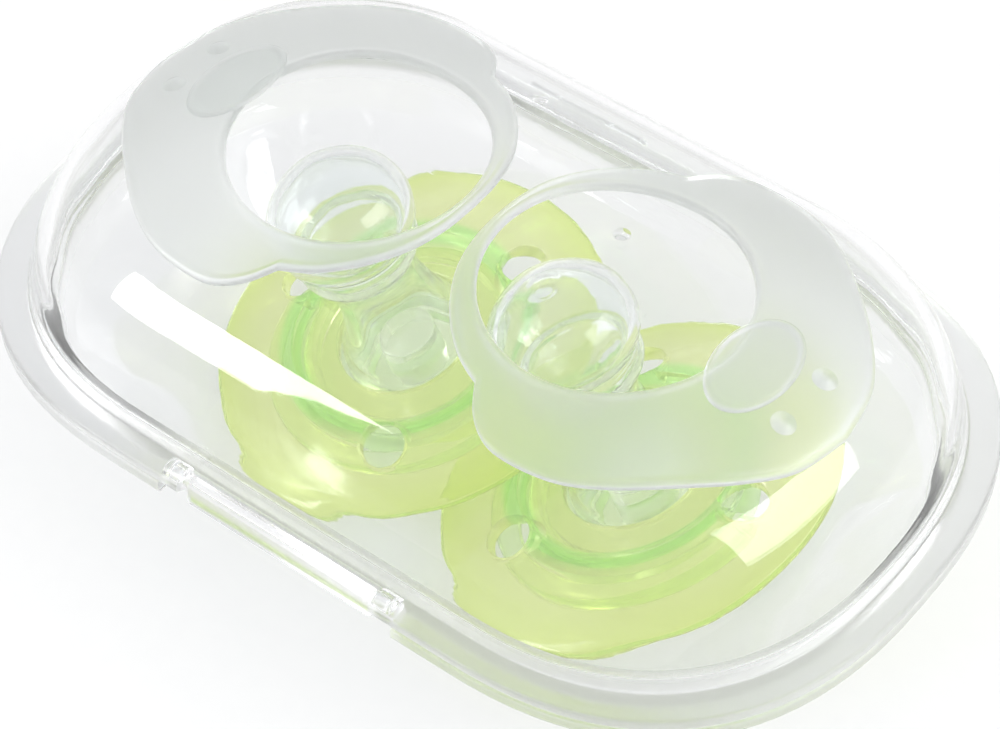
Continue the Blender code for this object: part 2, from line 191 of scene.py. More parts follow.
def round_corners(points, radius, steps=4, closed=False):
    """Replace each real corner of a polyline by a short arc."""
    pts = [np.array(p, float) for p in points]
    count = len(pts)
    made = []
    for i, point in enumerate(pts):
        if not closed and i in (0, count - 1):
            made.append(point)
            continue
        before = pts[(i - 1) % count] - point
        after = pts[(i + 1) % count] - point
        len_in = np.linalg.norm(before)
        len_out = np.linalg.norm(after)
        before = before / len_in
        after = after / len_out
        turn = math.pi - math.acos(max(-1.0, min(1.0, float(before @ after))))
        if turn < math.radians(14):
            made.append(point)
            continue
        cut = min(radius * math.tan(turn / 2), 0.46 * len_in, 0.46 * len_out)
        start = point + before * cut
        end = point + after * cut
        for k in range(steps + 1):
            t = k / steps
            made.append((1 - t) ** 2 * start + 2 * t * (1 - t) * point + t ** 2 * end)
    return [tuple(p) for p in made]


def offset_line(points, distance):
    """Polyline moved to its left along the point order."""
    moved = []
    last = len(points) - 1
    for i, point in enumerate(points):
        ahead = np.array(points[min(i + 1, last)]) - np.array(points[max(i - 1, 0)])
        ahead = ahead / np.linalg.norm(ahead)
        moved.append((point[0] - ahead[1] * distance, point[1] + ahead[0] * distance))
    return moved


def oval(inset, z):
    """One ring of the case plan in mm, moved in from the rim by inset."""
    a = CASE_A - CASE_S - inset
    b = CASE_B - inset
    n = 2.0 + (CASE_N - 2.0) * max(0.0, 1.0 - inset / 20.0)
    points = []
    for side in (1, -1):
        for k in range(END_SEGS + 1):
            t = math.pi * (k / END_SEGS - 0.5)
            c = math.copysign(abs(math.cos(t)) ** (2 / n), math.cos(t))
            s = math.copysign(abs(math.sin(t)) ** (2 / n), math.sin(t))
            points.append((side * (CASE_S + a * c), side * b * s, z))
        for k in range(1, SIDE_SEGS):
            points.append((side * CASE_S * (1 - 2 * k / SIDE_SEGS), side * b, z))
    return points


LID_LINE = smooth_line(LID_SECTION, 5)
BASE_LINE = smooth_line(BASE_SECTION, 5)


def crown_height(x, y):
    """Height of the lid's outer face over plan points, in mm."""
    low = np.full(x.shape, 3.0)
    high = np.full(x.shape, 33.4)
    for _ in range(40):
        inset = (low + high) / 2
        a = np.maximum(CASE_A - CASE_S - inset, 0.05)
        b = np.maximum(CASE_B - inset, 0.05)
        n = 2.0 + (CASE_N - 2.0) * np.maximum(0.0, 1.0 - inset / 20.0)
        reach = np.maximum(np.abs(x) - CASE_S, 0.0)
        inside = (reach / a) ** n + (np.abs(y) / b) ** n < 1.0
        low = np.where(inside, inset, low)
        high = np.where(inside, high, inset)
    line = np.array(LID_LINE)
    return np.interp((low + high) / 2, line[:, 0], line[:, 1])


def on_crown(x, y, lift):
    """Points standing off the lid's outer face by lift, in mm."""
    step = 0.2
    z = crown_height(x, y)
    slope_x = (crown_height(x + step, y) - crown_height(x - step, y)) / (2 * step)
    slope_y = (crown_height(x, y + step) - crown_height(x, y - step)) / (2 * step)
    length = np.sqrt(slope_x ** 2 + slope_y ** 2 + 1)
    return np.stack((x - slope_x / length * lift, y - slope_y / length * lift, z + lift / length), -1)


# ---- meshes --------------------------------------------------------------------------------
def mesh_object(name, verts, faces, scale=MM):
    mesh = bpy.data.meshes.new(name)
    mesh.from_pydata([tuple(c * scale for c in v) for v in verts], [], faces)
    bm = bmesh.new()
    bm.from_mesh(mesh)
    bmesh.ops.remove_doubles(bm, verts=bm.verts, dist=1e-7)
    bmesh.ops.recalc_face_normals(bm, faces=bm.faces)
    bm.to_mesh(mesh)
    bm.free()
    obj = bpy.data.objects.new(name, mesh)
    bpy.context.scene.collection.objects.link(obj)
    return obj


def shade(obj, angle=32.0):
    """Smooth shading with sharp edges kept where faces turn by more than the angle."""
    mesh = obj.data
    mesh.shade_smooth()
    bm = bmesh.new()
    bm.from_mesh(mesh)
    limit = math.radians(angle)
    for edge in bm.edges:
        edge.smooth = edge.is_manifold and edge.calc_face_angle(0.0) < limit
    bm.to_mesh(mesh)
    bm.free()
    return obj


def skin(rings):
    """Vertices and faces of a closed skin through equal rings, capped at both ends."""
    count = len(rings[0])
    verts = [p for ring in rings for p in ring]
    faces = [tuple(reversed(range(count)))]
    for row in range(len(rings) - 1):
        for i in range(count):
            j = (i + 1) % count
            a = row * count
            faces.append((a + i, a + j, a + count + j, a + count + i))
    faces.append(tuple(range((len(rings) - 1) * count, len(rings) * count)))
    return verts, faces


def turned(profile, segs=ROUND_SEGS, squeeze=None):
    """Solid of revolution about Z from (radius, height); a closed loop or a line from axis to axis."""
    on_axis = profile[0][0] == 0
    body = profile[1:-1] if on_axis else profile
    verts = []
    for r, w in body:
        sx, sy = squeeze(w) if squeeze else (1.0, 1.0)
        for k in range(segs):
            t = 2 * math.pi * k / segs
            verts.append((r * sx * math.cos(t), r * sy * math.sin(t), w))
    faces = []
    rows = len(body)
    for row in range(rows - 1 if on_axis else rows):
        low = row * segs
        high = ((row + 1) % rows) * segs
        for i in range(segs):
            j = (i + 1) % segs
            faces.append((low + i, low + j, high + j, high + i))
    if on_axis:
        for row, w in ((0, profile[0][1]), (rows - 1, profile[-1][1])):
            tip = len(verts)
            verts.append((0, 0, w))
            faces += [(row * segs + i, row * segs + (i + 1) % segs, tip) for i in range(segs)]
    return verts, faces


def rod(start, end, profile, segs=ROD_SEGS):
    """Solid turned about the line from start to end; the profile is (distance along, radius)."""
    start = Vector(start)
    end = Vector(end)
    turn = (end - start).to_track_quat("Z", "Y").to_matrix()
    rings = []
    for along, radius in profile:
        ring = []
        for k in range(segs):
            t = 2 * math.pi * k / segs
            spot = Vector((radius * math.cos(t), radius * math.sin(t), along))
            ring.append(tuple(start + turn @ spot))
        rings.append(ring)
    return skin(rings)


def plain_rod(start, end, radius, chamfer=0.15):
    """Round bar with a small chamfer at each end."""
    length = (Vector(end) - Vector(start)).length
    soft = radius - chamfer
    return rod(start, end, ((0, soft), (chamfer, radius), (length - chamfer, radius), (length, soft)))


def block(low, high):
    xs, ys, zs = zip(low, high)
    corners = [(x, y, z) for z in zs for y in ys for x in xs]
    faces = [(0, 2, 3, 1), (4, 5, 7, 6), (0, 1, 5, 4), (2, 6, 7, 3), (0, 4, 6, 2), (1, 3, 7, 5)]
    return corners, faces


def join_parts(parts):
    """One vertex and face list from several separate closed shapes."""
    verts = []
    faces = []
    for part_verts, part_faces in parts:
        shift = len(verts)
        verts += list(part_verts)
        faces += [tuple(i + shift for i in face) for face in part_faces]
    return verts, faces


def combine(target, shape, operation):
    """One exact Boolean with a shape given as vertices and faces in mm."""
    tool = mesh_object("tool", *shape)
    mod = target.modifiers.new("cut", "BOOLEAN")
    mod.operation = operation
    mod.solver = "EXACT"
    mod.object = tool
    bpy.context.view_layer.update()
    graph = bpy.context.evaluated_depsgraph_get()
    result = bpy.data.meshes.new_from_object(target.evaluated_get(graph))
    old = target.data
    target.modifiers.clear()
    target.data = result
    bpy.data.objects.remove(tool, do_unlink=True)
    bpy.data.meshes.remove(old)
    result.name = target.name
    return target


# ---- materials --------------------------------------------------------------------------------
class Paint:
    """A Principled material whose nodes are added one effect at a time."""

    def __init__(self, name, colour, rough, transmission, ior):
        self.mat = bpy.data.materials.new(name)
        self.mat.use_nodes = True
        self.tree = self.mat.node_tree
        self.shader = self.tree.nodes["Principled BSDF"]
        self.shader.inputs["Base Color"].default_value = (*colour, 1.0)
        self.shader.inputs["Roughness"].default_value = rough
        self.shader.inputs["Transmission Weight"].default_value = transmission
        self.shader.inputs["IOR"].default_value = ior
        self.coords = self.add("ShaderNodeTexCoord").outputs["Object"]
        self.normal = None

    def add(self, kind, **values):
        node = self.tree.nodes.new(kind)
        for key, value in values.items():
            setattr(node, key, value)
        return node

    def link(self, start, end):
        self.tree.links.new(start, end)

    def noise(self, scale, detail=3.0, stretch=(1, 1, 1), rough=0.5):
        mapping = self.add("ShaderNodeMapping")
        mapping.inputs["Scale"].default_value = stretch
        self.link(self.coords, mapping.inputs["Vector"])
        node = self.add("ShaderNodeTexNoise")
        node.inputs["Scale"].default_value = scale
        node.inputs["Detail"].default_value = detail
        node.inputs["Roughness"].default_value = rough
        self.link(mapping.outputs["Vector"], node.inputs["Vector"])
        return node.outputs["Fac"]

    def spread(self, source, low, high, from_low=0.3, from_high=0.7):
        node = self.add("ShaderNodeMapRange")
        node.inputs["From Min"].default_value = from_low
        node.inputs["From Max"].default_value = from_high
        node.inputs["To Min"].default_value = low
        node.inputs["To Max"].default_value = high
        self.link(source, node.inputs["Value"])
        return node.outputs["Result"]

    def calc(self, first, second, operation="ADD"):
        """One step of arithmetic on a socket and a socket or number."""
        node = self.add("ShaderNodeMath", operation=operation)
        self.link(first, node.inputs[0])
        if isinstance(second, float):
            node.inputs[1].default_value = second
        else:
            self.link(second, node.inputs[1])
        return node.outputs["Value"]

    def axis(self, name):
        node = self.add("ShaderNodeSeparateXYZ")
        self.link(self.coords, node.inputs["Vector"])
        return node.outputs[name]

    def reach(self):
        """Distance from the pacifier's own axis in mm, stored on the mesh."""
        return self.add("ShaderNodeAttribute", attribute_name="reach").outputs["Fac"]

    def blend(self, factor, first, second):
        """Colour that goes from first to second with the factor."""
        node = self.add("ShaderNodeMix", data_type="RGBA")
        self.link(factor, node.inputs["Factor"])
        for socket, value in ((node.inputs[6], first), (node.inputs[7], second)):
            if isinstance(value, tuple):
                socket.default_value = (*value, 1.0)
            else:
                self.link(value, socket)
        return node.outputs[2]

    def bump(self, height, strength, distance):
        node = self.add("ShaderNodeBump")
        node.inputs["Strength"].default_value = strength
        node.inputs["Distance"].default_value = distance
        self.link(height, node.inputs["Height"])
        if self.normal:
            self.link(self.normal, node.inputs["Normal"])
        self.normal = node.outputs["Normal"]
        self.link(self.normal, self.shader.inputs["Normal"])

    def colour(self, socket):
        self.link(socket, self.shader.inputs["Base Color"])

    def rough(self, socket):
        self.link(socket, self.shader.inputs["Roughness"])

    def pass_light(self, tint):
        """Lamp and scattered light goes straight through, so nothing inside stands in the dark."""
        path = self.add("ShaderNodeLightPath")
        clear = self.add("ShaderNodeBsdfTransparent")
        clear.inputs["Color"].default_value = (*tint, 1.0)
        shader = self.shader.outputs["BSDF"]
        for ray in ("Is Diffuse Ray", "Is Shadow Ray"):
            mixer = self.add("ShaderNodeMixShader")
            self.link(path.outputs[ray], mixer.inputs[0])
            self.link(shader, mixer.inputs[1])
            self.link(clear.outputs["BSDF"], mixer.inputs[2])
            shader = mixer.outputs["Shader"]
        output = next(n for n in self.tree.nodes if n.type == "OUTPUT_MATERIAL")
        self.link(shader, output.inputs["Surface"])
        return self.mat


def clear_plastic(name, colour, rough):
    """Moulded clear plastic: faint flow waviness, handling haze, hairline scuffs, a hazier rim."""
    paint = Paint(name, colour, rough, 1.0, 1.49)
    flow = paint.noise(90.0, 2.0, (1.0, 1.6, 1.0))
    haze = paint.noise(45.0, 4.0)
    scuffs = paint.noise(900.0, 2.0, (0.12, 1.0, 1.0))
    paint.colour(paint.blend(haze, colour, tuple(c * 0.985 for c in colour)))
    hairlines = paint.spread(scuffs, 0.0, 0.04, 0.62, 0.8)
    worn = paint.calc(paint.spread(haze, rough * 0.5, rough * 1.6), hairlines)
    from_seam = paint.calc(paint.calc(paint.axis("Z"), 0.00005, "SUBTRACT"), 0.0, "ABSOLUTE")
    rim = paint.spread(from_seam, 0.30, 0.0, 0.00125, 0.00230)
    paint.rough(paint.calc(worn, rim))
    paint.bump(flow, 0.04, 0.0006)
    paint.bump(scuffs, 0.04, 0.00004)
    return paint.pass_light((0.94, 0.942, 0.945))


def frosted_plastic():
    """Spark-eroded matt face over clear plastic."""
    colour = (0.93, 0.94, 0.935)
    paint = Paint("frosted_plastic", colour, 0.3, 0.93, 1.49)
    grain = paint.noise(5200.0, 2.0)
    cloud = paint.noise(70.0, 3.0)
    paint.colour(paint.blend(cloud, colour, (0.90, 0.915, 0.91)))
    paint.rough(paint.calc(paint.spread(cloud, 0.29, 0.34), paint.spread(grain, 0.0, 0.02)))
    paint.bump(cloud, 0.05, 0.0008)
    return paint.pass_light((0.93, 0.95, 0.94))


def tinted_plastic(name, pale, deep, start, stop, transmission, rough, lamp_tint, step=None):
    """Translucent coloured plastic that deepens from start to stop mm off its axis.

    A step is (inner radius, outer radius, colour) of a deeper ring.
    """
    paint = Paint(name, pale, rough, transmission, 1.49)
    cloud = paint.noise(80.0, 3.0)
    fine = paint.noise(1400.0, 2.0)
    reach = paint.reach()
    edge = paint.spread(reach, 0.0, 1.0, start, stop)
    tint = paint.blend(edge, pale, deep)
    if step:
        inside, outside, step_tint = step
        rise = paint.spread(reach, 0.0, 1.0, inside - 0.7, inside)
        fall = paint.spread(reach, 1.0, 0.0, outside, outside + 0.9)
        tint = paint.blend(paint.calc(rise, fall, "MULTIPLY"), tint, step_tint)
    paint.colour(paint.blend(paint.spread(cloud, 0.0, 0.25), tint, deep))
    specks = paint.spread(fine, 0.0, 0.03, 0.55, 0.75)
    paint.rough(paint.calc(paint.spread(cloud, rough * 0.6, rough * 1.3), specks))
    paint.bump(cloud, 0.06, 0.0006)
    paint.bump(fine, 0.03, 0.00004)
    return paint.pass_light(lamp_tint)


def silicone():
    """Clear soft rubber with a slightly oily, uneven gloss."""
    paint = Paint("silicone", (0.95, 0.97, 0.965), 0.06, 0.97, 1.41)
    cloud = paint.noise(120.0, 3.0)
    fine = paint.noise(900.0, 2.0)
    paint.colour(paint.blend(cloud, (0.965, 0.98, 0.975), (0.93, 0.955, 0.95)))
    paint.rough(paint.calc(paint.spread(cloud, 0.02, 0.08), paint.spread(fine, 0.0, 0.03)))
    paint.bump(cloud, 0.12, 0.0008)
    paint.bump(fine, 0.03, 0.00005)
    return paint.pass_light((0.96, 0.97, 0.97))


def floor_paint():
    paint = Paint("floor_paper", (0.74, 0.74, 0.74), 0.9, 0.0, 1.45)
    grain = paint.noise(400.0, 4.0)
    paint.colour(paint.blend(grain, (0.75, 0.75, 0.75), (0.73, 0.73, 0.735)))
    paint.shader.inputs["Emission Color"].default_value = (1, 1, 1, 1)
    paint.shader.inputs["Emission Strength"].default_value = 0.12
    paint.bump(grain, 0.05, 0.0002)
    return paint.mat


# ---- case pieces ----------------------------------------------------------------------------------
def finish_piece(obj, mat, body, nodes, angle=32.0):
    obj.data.materials.clear()
    obj.data.materials.append(mat)
    shade(obj, angle)
    obj.location.z += SEAM_Z
    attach(obj, body)
    if nodes:
        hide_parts(*nodes)
    return obj


def case_rings(section):
    return [oval(inset, z) for inset, z in section]


def knuckles(parts, web):
    """Hinge barrels with their webs, one closed shape per (centre, length)."""
    low_z, high_z = web
    made = []
    for centre, length in parts:
        x0 = centre - length / 2
        x1 = centre + length / 2
        barrel = mesh_object("barrel", *plain_rod((x0, HINGE_Y, 0), (x1, HINGE_Y, 0), KNUCKLE_R))
        low = (x0 + 0.25, WEB_ROOT_Y, low_z)
        high = (x1 - 0.25, HINGE_Y - WEB_SHORT, high_z)
        combine(barrel, block(low, high), "UNION")
        verts = [tuple(c / MM for c in v.co) for v in barrel.data.vertices]
        faces = [tuple(p.vertices) for p in barrel.data.polygons]
        made.append((verts, faces))
        bpy.data.objects.remove(barrel, do_unlink=True)
    return made


def build_lid(mat):
    outer = list(LID_LINE)
    inner = [(d, z) for d, z in offset_line(outer, -LID_WALL) if z > 1.6 and d < 33.0]
    rim = [(0.0, LID_RIM_TOP), (0.0, RIM_GAP), (LID_RIM_IN, RIM_GAP)]
    section = list(reversed(outer)) + rim + inner
    corners = len(outer)
    tail = round_corners(section[corners - 3:corners + 6], RIM_ROUND)
    section = section[:corners - 3] + tail + section[corners + 6:]
    lid = mesh_object("lid_shell", *skin(case_rings(section)))
    combine(lid, block((-RECESS_HALF, -36, -1), (RECESS_HALF, RECESS_Y, 2.5)), "DIFFERENCE")
    added = knuckles([(side * HINGE_X, LID_KNUCKLE) for side in (-1, 1)], LID_WEB)
    for side in (-1, 1):
        start = (side * (RECESS_HALF - 0.01), LATCH_Y, LATCH_Z)
        end = (side * (RECESS_HALF + BOSS_LENGTH), LATCH_Y, LATCH_Z)
        added.append(plain_rod(start, end, BOSS_R))
    combine(lid, join_parts(added), "UNION")
    cuts = [plain_rod((-30, HINGE_Y, 0), (30, HINGE_Y, 0), BORE_R)]
    for side in (-1, 1):
        start = (side * (RECESS_HALF - 1), LATCH_Y, LATCH_Z)
        end = (side * (RECESS_HALF + BOSS_BORE), LATCH_Y, LATCH_Z)
        cuts.append(plain_rod(start, end, BOSS_BORE_R))
    combine(lid, join_parts(cuts), "DIFFERENCE")
    return finish_piece(lid, mat, "lid", ["case_lid"])


def build_base(mat):
    outer = list(BASE_LINE)
    inner = [(d, z) for d, z in offset_line(outer, BASE_WALL) if z < -2.6]
    inner.append((inner[-1][0] + 1.0, inner[-1][1]))
    lip = [(0.0, BASE_RIM_LOW), (0.0, -RIM_GAP), (LIP_INSET, -RIM_GAP), (LIP_INSET, LIP_TOP),
           (LIP_INSET + LIP_WALL, LIP_TOP), (LIP_INSET + LIP_WALL, -2.2)]
    inner = [p for p in inner if p[0] > LIP_INSET + LIP_WALL + 0.1]
    section = list(reversed(outer)) + lip + inner
    corners = len(outer)
    tail = round_corners(section[corners - 3:corners + 8], LIP_ROUND)
    section = section[:corners - 3] + tail + section[corners + 8:]
    base = mesh_object("base_shell", *skin(case_rings(section)))
    wide = RECESS_HALF + BOSS_LENGTH + 0.3
    combine(base, block((-wide, -36, -2.5), (wide, RECESS_Y + 0.05, 0.5)), "DIFFERENCE")
    half = LID_KNUCKLE / 2 + KNUCKLE_GAP + BASE_KNUCKLE / 2
    places = [(side * HINGE_X + k * half, BASE_KNUCKLE) for side in (-1, 1) for k in (-1, 1)]
    combine(base, join_parts(knuckles(places, BASE_WEB)), "UNION")
    combine(base, plain_rod((-30, HINGE_Y, 0), (30, HINGE_Y, 0), BORE_R), "DIFFERENCE")
    return finish_piece(base, mat, "base", ["case_base"])


def build_pins(mat):
    half = LID_KNUCKLE / 2 + KNUCKLE_GAP + BASE_KNUCKLE
    for side, label in ((-1, "left"), (1, "right")):
        start = (side * HINGE_X - half, HINGE_Y, 0)
        end = (side * HINGE_X + half, HINGE_Y, 0)
        profile = [(0, 0.4), (0.1, 0.58), (0.25, PIN_R), (2 * half - 0.25, PIN_R),
                   (2 * half - 0.1, 0.58), (2 * half, 0.4)]
        pin = mesh_object("hinge_rod_" + label, *rod(start, end, profile))
        finish_piece(pin, mat, "base", ["hinge_pin_" + label])


def build_latch(mat):
    """Flap hung on two stubs in the lid's front rim, its ends eased."""
    profile = round_corners(LATCH_PROFILE, 0.3, 3, closed=True)
    centre = np.mean(np.array(profile), axis=0)
    rings = []
    for x, size in ((-1.0, 0.78), (-0.99, 0.93), (-0.97, 1.0), (0.97, 1.0), (0.99, 0.93), (1.0, 0.78)):
        ring = [centre + (np.array(p) - centre) * size for p in profile]
        rings.append([(x * LATCH_HALF, p[0], p[1]) for p in ring])
    latch = mesh_object("latch_flap", *skin(rings))
    stubs = []
    for side in (-1, 1):
        start = (side * (LATCH_HALF - 1), LATCH_Y, LATCH_Z)
        end = (side * (RECESS_HALF + LATCH_STUB), LATCH_Y, LATCH_Z)
        stubs.append(plain_rod(start, end, LATCH_STUB_R, 0.1))
    combine(latch, join_parts(stubs), "UNION")
    return finish_piece(latch, mat, "latch", ["case_latch"])


def edge_lift(edge, top, bead):
    """Height of a panel's upper face at a distance from its edge: rounded edge, then a bead."""
    inside = np.minimum(edge, PANEL_ROUND)
    drop = PANEL_ROUND - np.sqrt(np.maximum(PANEL_ROUND ** 2 - (PANEL_ROUND - inside) ** 2, 0.0))
    return top - drop + bead * np.exp(-((edge - 0.5) / 0.28) ** 2)


def panel_shell(inner, outer, low, top, bead, rows):
    """Closed plate on the crown between two matched plan curves."""
    inner = np.array(inner, float)
    outer = np.array(outer, float)
    span = np.linalg.norm(outer - inner, axis=1)
    near = np.array([0.0, 0.03, 0.08, 0.16, 0.28, 0.40, 0.52, 0.68, 0.90, 1.20])
    tops = []
    lows = []
    squeeze = np.minimum(1.0, span / 2 / 1.25)
    fractions = [distance * squeeze / span for distance in near]
    start = fractions[-1]
    for k in range(1, rows):
        fractions.append(start + (1 - 2 * start) * k / rows)
    for distance in reversed(near):
        fractions.append(1 - distance * squeeze / span)
    for share in fractions:
        plan = inner + (outer - inner) * share[:, None]
        edge = np.minimum(share, 1 - share) * span
        lift = edge_lift(edge, top, bead)
        tops.append(on_crown(plan[:, 0], plan[:, 1], lift))
        lows.append(on_crown(plan[:, 0], plan[:, 1], np.full(len(plan), low)))
    count = len(inner)
    total = len(tops)
    verts = [tuple(p) for ring in tops for p in ring] + [tuple(p) for ring in lows for p in ring]
    faces = []
    for row in range(total - 1):
        for i in range(count):
            j = (i + 1) % count
            a = row * count
            faces.append((a + i, a + j, a + count + j, a + count + i))
            b = (total + row) * count
            faces.append((b + i, b + count + i, b + count + j, b + j))
    for row in (0, total - 1):
        for i in range(count):
            j = (i + 1) % count
            a = row * count
            b = (total + row) * count
            faces.append((a + i, b + i, b + j, a + j))
    return verts, faces


def build_panel(side, label, mat):
    half = []
    for lobe in PANEL_LOBES:
        fine = smooth_line(lobe, 9)
        half += fine if not half else fine[1:]
    outline = half + [(x, -y) for x, y in reversed(half[1:-1])]
    outer = np.array([(side * x, y) for x, y in outline])
    centre = np.array((side * WINDOW_X, 0.0))
    ray = outer - centre
    inner = centre + ray / np.linalg.norm(ray, axis=1)[:, None] * WINDOW_R
    shell = panel_shell(inner, outer, PANEL_LOW, PANEL_TOP, PANEL_BEAD, 36)
    panel = mesh_object("frosted_panel_" + label, *shell)
    return finish_piece(panel, mat, "lid", ["lid_panel_" + label], 50.0)


def crown_disc(centre, a, b, lift_of, low, rows, segs):
    """Closed plate on the crown under an ellipse; lift_of is the height at a share of the radius."""
    turn = np.arange(segs) * 2 * math.pi / segs
    shares = [k / rows for k in range(1, rows + 1)]
    verts = []
    for heights in (lift_of, lambda share: low):
        x, y = (np.array([c]) for c in centre)
        verts.append(tuple(on_crown(x, y, np.array([heights(0.0)]))[0]))
        for share in shares:
            x = centre[0] + a * share * np.cos(turn)
            y = centre[1] + b * share * np.sin(turn)
            verts += [tuple(p) for p in on_crown(x, y, np.full(segs, heights(share)))]
    faces = []
    size = 1 + rows * segs
    for sheet in (0, 1):
        first = sheet * size
        for i in range(segs):
            j = (i + 1) % segs
            faces.append((first, first + 1 + i, first + 1 + j))
            for row in range(rows - 1):
                p = first + 1 + row * segs
                faces.append((p + i, p + j, p + segs + j, p + segs + i))
    rim = 1 + (rows - 1) * segs
    for i in range(segs):
        j = (i + 1) % segs
        faces.append((rim + i, rim + j, size + rim + j, size + rim + i))
    return verts, faces


def pad_lift(share):
    """Oval pad: raised rim bead round a very slightly hollow middle."""
    edge = (1 - share) * PAD_A
    bead = 0.22 * math.exp(-((edge - 0.28) / 0.20) ** 2)
    return PANEL_TOP + 0.08 + bead - 0.05 * max(0.0, 1 - edge / 0.08)


def pip_lift(share):
    """Small dome with a soft foot."""
    return PANEL_TOP + 0.05 + 0.42 * (1 - share ** 2) ** 1.3


def gate_lift(share):
    """Low stub left where the lid was moulded."""
    return 0.06 + 0.22 * (1 - share ** 2) ** 1.2


def build_details(mat, clear):
    for side, label in ((-1, "left"), (1, "right")):
        pad = crown_disc((side * PAD_X, 0.0), PAD_A, PAD_B, pad_lift, PANEL_TOP + PLATE_STEP, 26, 72)
        finish_piece(mesh_object("oval_pad_" + label, *pad), mat, "lid", [], 60.0)
        for half, end in ((-1, "front"), (1, "back")):
            spot = (side * PIP_X, half * PIP_Y)
            pip = crown_disc(spot, PIP_R, PIP_R, pip_lift, PANEL_TOP + PLATE_STEP, 8, 32)
            name = "panel_pip_" + label + "_" + end
            finish_piece(mesh_object(name, *pip), mat, "lid", [], 60.0)
    for spot, end in zip(GATE_SPOTS, ("back", "window")):
        mark = crown_disc(spot, GATE_R, GATE_R, gate_lift, 0.03, 6, 28)
        finish_piece(mesh_object("gate_mark_" + end, *mark), clear, "lid", [], 60.0)


# ---- pacifier pieces --------------------------------------------------------------------------------
def dome(r):
    return SHIELD_RISE * (1 - (r / SHIELD_R) ** 2)


def build_shield(name, turn):
    step = dome(DISH_R)
    floor = step - DISH_DEPTH
    top = [(SHIELD_R - 0.1, 0.0), (SHIELD_R - 0.7, dome(SHIELD_R - 0.7) + 0.1)]
    top += [(r, dome(r)) for r in np.arange(21.2, DISH_R + 0.5, -0.6)]
    top += [(DISH_R + 0.2, step), (DISH_R - 0.25, floor)]
    top += [(NECK_HOLE_R, floor), (NECK_HOLE_R, floor - SHIELD_T + 0.1)]
    under = [(DISH_R + 0.6, floor - SHIELD_T + 0.1), (14.2, dome(14.2) - SHIELD_T)]
    under += [(r, dome(r) - SHIELD_T) for r in np.arange(15.0, 21.2, 0.6)]
    under += [(SHIELD_R - 0.7, dome(SHIELD_R) - SHIELD_T + 0.3), (SHIELD_R, -0.8)]
    profile = round_corners(top + under, 0.4, 4, closed=True)
    shield = mesh_object(name, *turned(profile))
    slope = -2 * SHIELD_RISE * AIR_HOLE_AT / SHIELD_R ** 2
    normal = Vector((-slope, 0, 1)).normalized()
    flare = 0.35
    drills = []
    for k in range(3):
        angle = turn + 2 * math.pi * k / 3
        spin = Matrix.Rotation(angle, 3, "Z")
        up = spin @ normal
        mouth = spin @ Vector((AIR_HOLE_AT, 0, dome(AIR_HOLE_AT)))
        profile = [(0, AIR_HOLE_R + flare + 0.8), (3.0, AIR_HOLE_R + flare + 0.02)]
        for k2 in range(5):
            t = math.pi / 2 * k2 / 4
            profile.append((3.0 + flare * math.sin(t), AIR_HOLE_R + flare * (1 - math.sin(t)) ** 1.5))
        mirrored = [(6.0 + SHIELD_T - along, radius) for along, radius in reversed(profile)]
        start = mouth - up * (3.0 + SHIELD_T)
        drills.append(rod(start, start + up, profile + mirrored, 48))
    combine(shield, join_parts(drills), "DIFFERENCE")
    return shield


def teat_squeeze(w):
    """Neck squeezed along local X, eased round again at the bulb and the base."""
    amount = math.exp(-((w - 9.0) / 4.5) ** 2)
    return 1.0 - 0.22 * amount, 1.0 + 0.12 * amount


def build_teat(name):
    neck = [(7.15, 1.2), (6.9, 2.6), (6.2, 4.4), (5.4, 6.6), (4.8, 9.0), (4.6, 11.4), (4.9, 13.6),
            (5.7, 15.6), (6.75, 17.6)]
    arc = []
    for k in range(1, 9):
        t = -0.9 + k * (math.pi / 2 + 0.9) / 9
        arc.append((BULB_R * math.cos(t), BULB_W + BULB_H * math.sin(t)))
    outer = smooth_line([(7.2, 0.4)] + neck + arc + [(0.9, BULB_W + BULB_H * 0.995)], 5)
    foot = round_corners([(5.9, -1.6), (10.3, -1.6), (10.3, -0.5), (7.3, -0.4), (7.2, 0.4)], 0.35)
    inner = [(r, w) for r, w in offset_line(outer, TEAT_WALL) if r > 0.7]
    profile = [(0, BULB_W + BULB_H)] + list(reversed(outer)) + list(reversed(foot))[1:] + inner
    profile += [(0, BULB_W + BULB_H - TEAT_WALL)]
    return mesh_object(name, *turned(profile, ROUND_SEGS, teat_squeeze))


def build_hub(name):
    profile = [(0, HUB_BOTTOM), (11.4, HUB_BOTTOM), (HUB_R, HUB_BOTTOM + 0.7), (HUB_R, HUB_TOP),
               (10.7, HUB_TOP), (10.7, -1.9), (5.6, -1.9), (5.6, -4.0), (3.5, -4.0),
               (3.4, 2.0), (0, 2.0)]
    rounded = round_corners(profile, 0.35)
    hub = mesh_object(name, *turned(rounded))
    sockets = []
    for side in (-1, 1):
        start = (side * 10.9, 0, HANDLE_W)
        sockets.append(plain_rod(start, (side * 13.0, 0, HANDLE_W), SOCKET_R, 0.05))
    combine(hub, join_parts(sockets), "DIFFERENCE")
    return hub


